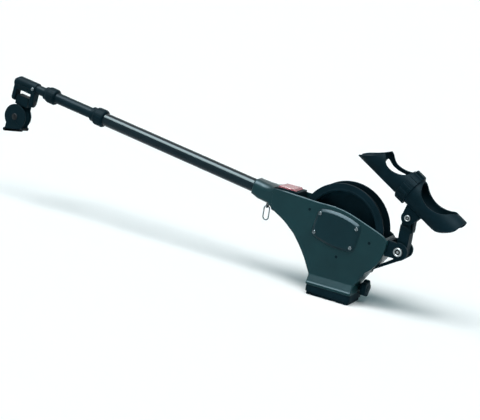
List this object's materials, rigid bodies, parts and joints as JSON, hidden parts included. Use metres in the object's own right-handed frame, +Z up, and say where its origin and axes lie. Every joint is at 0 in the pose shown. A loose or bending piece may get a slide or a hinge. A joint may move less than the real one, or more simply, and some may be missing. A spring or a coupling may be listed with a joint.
{
  "type": "downrigger",
  "caption": "Hand-cranked fishing downrigger with a telescoping boom, large line reel, line counter, swivel pulley head, slide-off base and a tilting rod holder.",
  "frame": {"origin": "middle of the base's underside, on the deck or gunwale it is bolted to", "axes": "-X along the boom to its pulley, -Y out of the side with the cover plate, +Y to the crank, +Z up"},
  "size_m": [1.2226, 0.1731, 0.3494],
  "materials": {
    "frame_plastic": "satin moulded",
    "black_plastic": "satin moulded",
    "gloss_tube": "gloss black coated aluminium",
    "chrome": "bright",
    "steel": "brushed",
    "bronze": "sintered bearing metal",
    "friction_pad": "pressed fibre",
    "rubber": "moulded",
    "red_lens": "clear red",
    "pale_digit": "smooth"
  },
  "bodies": {
    "base": {"mounting_base": "black_plastic"},
    "frame": {"frame_near_half": "frame_plastic", "frame_far_half": "frame_plastic", "frame_screw_1": "steel", "frame_screw_2": "steel", "cover_plate": "frame_plastic", "cover_screw_1": "chrome", "cover_screw_2": "chrome", "cover_screw_3": "chrome", "cover_screw_4": "chrome", "near_shaft_bush": "bronze", "far_shaft_bush": "bronze", "counter_housing": "black_plastic", "counter_lens": "red_lens", "counter_shaft": "steel", "pawl_pin": "steel", "outer_tube": "gloss_tube", "rear_guide_bush": "rubber", "eye_bolt": "chrome", "holder_bracket": "black_plastic", "bracket_bolt": "chrome"},
    "lock_knob": {"base_lock_knob": "black_plastic"},
    "rear_collar": {"rear_lock_collar": "black_plastic"},
    "mid_boom": {"mid_tube": "gloss_tube", "front_guide_bush": "rubber"},
    "front_collar": {"front_lock_collar": "black_plastic"},
    "inner_boom": {"inner_tube": "gloss_tube", "swivel_yoke": "black_plastic", "yoke_screw": "chrome", "swivel_pin": "steel"},
    "pulley_block": {"pulley_cheek_near": "black_plastic", "pulley_cheek_far": "black_plastic", "pulley_axle": "steel", "line_guard_pin_1": "steel", "line_guard_pin_2": "steel"},
    "pulley_wheel": {"pulley": "black_plastic"},
    "crank": {"main_shaft": "steel", "crank_arm": "steel", "grip_pin": "chrome", "ratchet_gear": "steel", "pressure_plate": "steel"},
    "grip": {"crank_grip": "rubber"},
    "clutch": {"clutch_knob": "black_plastic"},
    "reel": {"reel_near_half": "black_plastic", "reel_far_half": "black_plastic", "reel_hub": "steel", "hub_bush": "bronze", "brake_pad": "friction_pad"},
    "pawl": {"ratchet_pawl": "steel"},
    "roller": {"counter_roller": "rubber"},
    "driven_wheel": {"counter_wheel": "rubber"},
    "digits_hundreds": {"digit_wheel_hundreds": "pale_digit"},
    "digits_tens": {"digit_wheel_tens": "pale_digit"},
    "digits_units": {"digit_wheel_units": "pale_digit"},
    "ring": {"hanging_ring": "chrome"},
    "arm": {"holder_arm": "black_plastic", "upper_bolt": "chrome"},
    "holder": {"holder_front_cradle": "black_plastic", "holder_rear_cradle": "black_plastic"},
    "clamp_ring": {"holder_ring": "black_plastic"}
  },
  "joints": [
    {"name": "frame_slide", "type": "slide", "parent": "base", "child": "frame", "axis": [1, 0, 0], "range_m": [0, 0.104]},
    {"name": "lock_knob_turn", "type": "hinge", "parent": "frame", "child": "lock_knob", "pos_m": [0.0553, 0.016, 0.036], "axis": [1, 0, 0], "range_deg": [0, 270]},
    {"name": "rear_collar_turn", "type": "hinge", "parent": "frame", "child": "rear_collar", "pos_m": [-0.6768, 0, 0.27267], "axis": [-0.9885, 0, 0.1513], "range_deg": [0, 90]},
    {"name": "mid_boom_slide", "type": "slide", "parent": "frame", "child": "mid_boom", "axis": [-0.9885, 0, 0.1513], "range_m": [-0.085, 0.33]},
    {"name": "front_collar_turn", "type": "hinge", "parent": "mid_boom", "child": "front_collar", "pos_m": [-0.8231, 0, 0.29506], "axis": [-0.9885, 0, 0.1513], "range_deg": [0, 90]},
    {"name": "inner_boom_slide", "type": "slide", "parent": "mid_boom", "child": "inner_boom", "axis": [-0.9885, 0, 0.1513], "range_m": [-0.024, 0.37]},
    {"name": "block_swivel", "type": "hinge", "parent": "inner_boom", "child": "pulley_block", "pos_m": [-0.90578, 0, 0.26876], "axis": [-0.9885, 0, 0.1513], "range_deg": [-70, 70]},
    {"name": "pulley_spin", "type": "hinge", "parent": "pulley_block", "child": "pulley_wheel", "pos_m": [-0.9184, 0, 0.22264], "axis": [0, 1, 0], "continuous": true},
    {"name": "crank_spin", "type": "hinge", "parent": "frame", "child": "crank", "pos_m": [0, 0, 0.166], "axis": [0, 1, 0], "continuous": true},
    {"name": "grip_spin", "type": "hinge", "parent": "crank", "child": "grip", "pos_m": [0, 0, 0.046], "axis": [0, 1, 0], "continuous": true},
    {"name": "clutch_turn", "type": "hinge", "parent": "crank", "child": "clutch", "pos_m": [0, 0, 0.166], "axis": [0, 1, 0], "range_deg": [0, 180]},
    {"name": "reel_spin", "type": "hinge", "parent": "frame", "child": "reel", "pos_m": [0, 0, 0.166], "axis": [0, 1, 0], "continuous": true},
    {"name": "pawl_lift", "type": "hinge", "parent": "frame", "child": "pawl", "pos_m": [-0.02394, 0, 0.21103], "axis": [0, 1, 0], "range_deg": [0, 15]},
    {"name": "roller_spin", "type": "hinge", "parent": "frame", "child": "roller", "pos_m": [-0.10965, 0, 0.19827], "axis": [0, 1, 0], "continuous": true},
    {"name": "driven_wheel_spin", "type": "hinge", "parent": "frame", "child": "driven_wheel", "pos_m": [-0.13334, 0, 0.20525], "axis": [0, 1, 0], "continuous": true},
    {"name": "units_spin", "type": "hinge", "parent": "frame", "child": "digits_units", "pos_m": [-0.13334, 0, 0.20525], "axis": [0, 1, 0], "continuous": true},
    {"name": "tens_spin", "type": "hinge", "parent": "frame", "child": "digits_tens", "pos_m": [-0.13334, 0, 0.20525], "axis": [0, 1, 0], "continuous": true},
    {"name": "hundreds_spin", "type": "hinge", "parent": "frame", "child": "digits_hundreds", "pos_m": [-0.13334, 0, 0.20525], "axis": [0, 1, 0], "continuous": true},
    {"name": "ring_swing", "type": "hinge", "parent": "frame", "child": "ring", "pos_m": [-0.1954, 0, 0.16603], "axis": [1, 0, 0], "range_deg": [-60, 60]},
    {"name": "arm_tilt", "type": "hinge", "parent": "frame", "child": "arm", "pos_m": [0.14154, 0, 0.1474], "axis": [0, 1, 0], "range_deg": [-5, 60]},
    {"name": "holder_tilt", "type": "hinge", "parent": "arm", "child": "holder", "pos_m": [0.14685, 0, 0.22532], "axis": [0, 1, 0], "range_deg": [-10, 30]},
    {"name": "clamp_ring_turn", "type": "hinge", "parent": "holder", "child": "clamp_ring", "pos_m": [0.13431, 0, 0.29038], "axis": [0.8536, 0, -0.521], "range_deg": [0, 60]}
  ],
  "couplings": [
    {"joint": "reel_spin", "follows": "crank_spin", "ratio": 1},
    {"joint": "roller_spin", "follows": "crank_spin", "ratio": -7.7692},
    {"joint": "driven_wheel_spin", "follows": "crank_spin", "ratio": 8.8596},
    {"joint": "units_spin", "follows": "crank_spin", "ratio": 0.2},
    {"joint": "tens_spin", "follows": "crank_spin", "ratio": 0.02},
    {"joint": "hundreds_spin", "follows": "crank_spin", "ratio": 0.002}
  ]
}
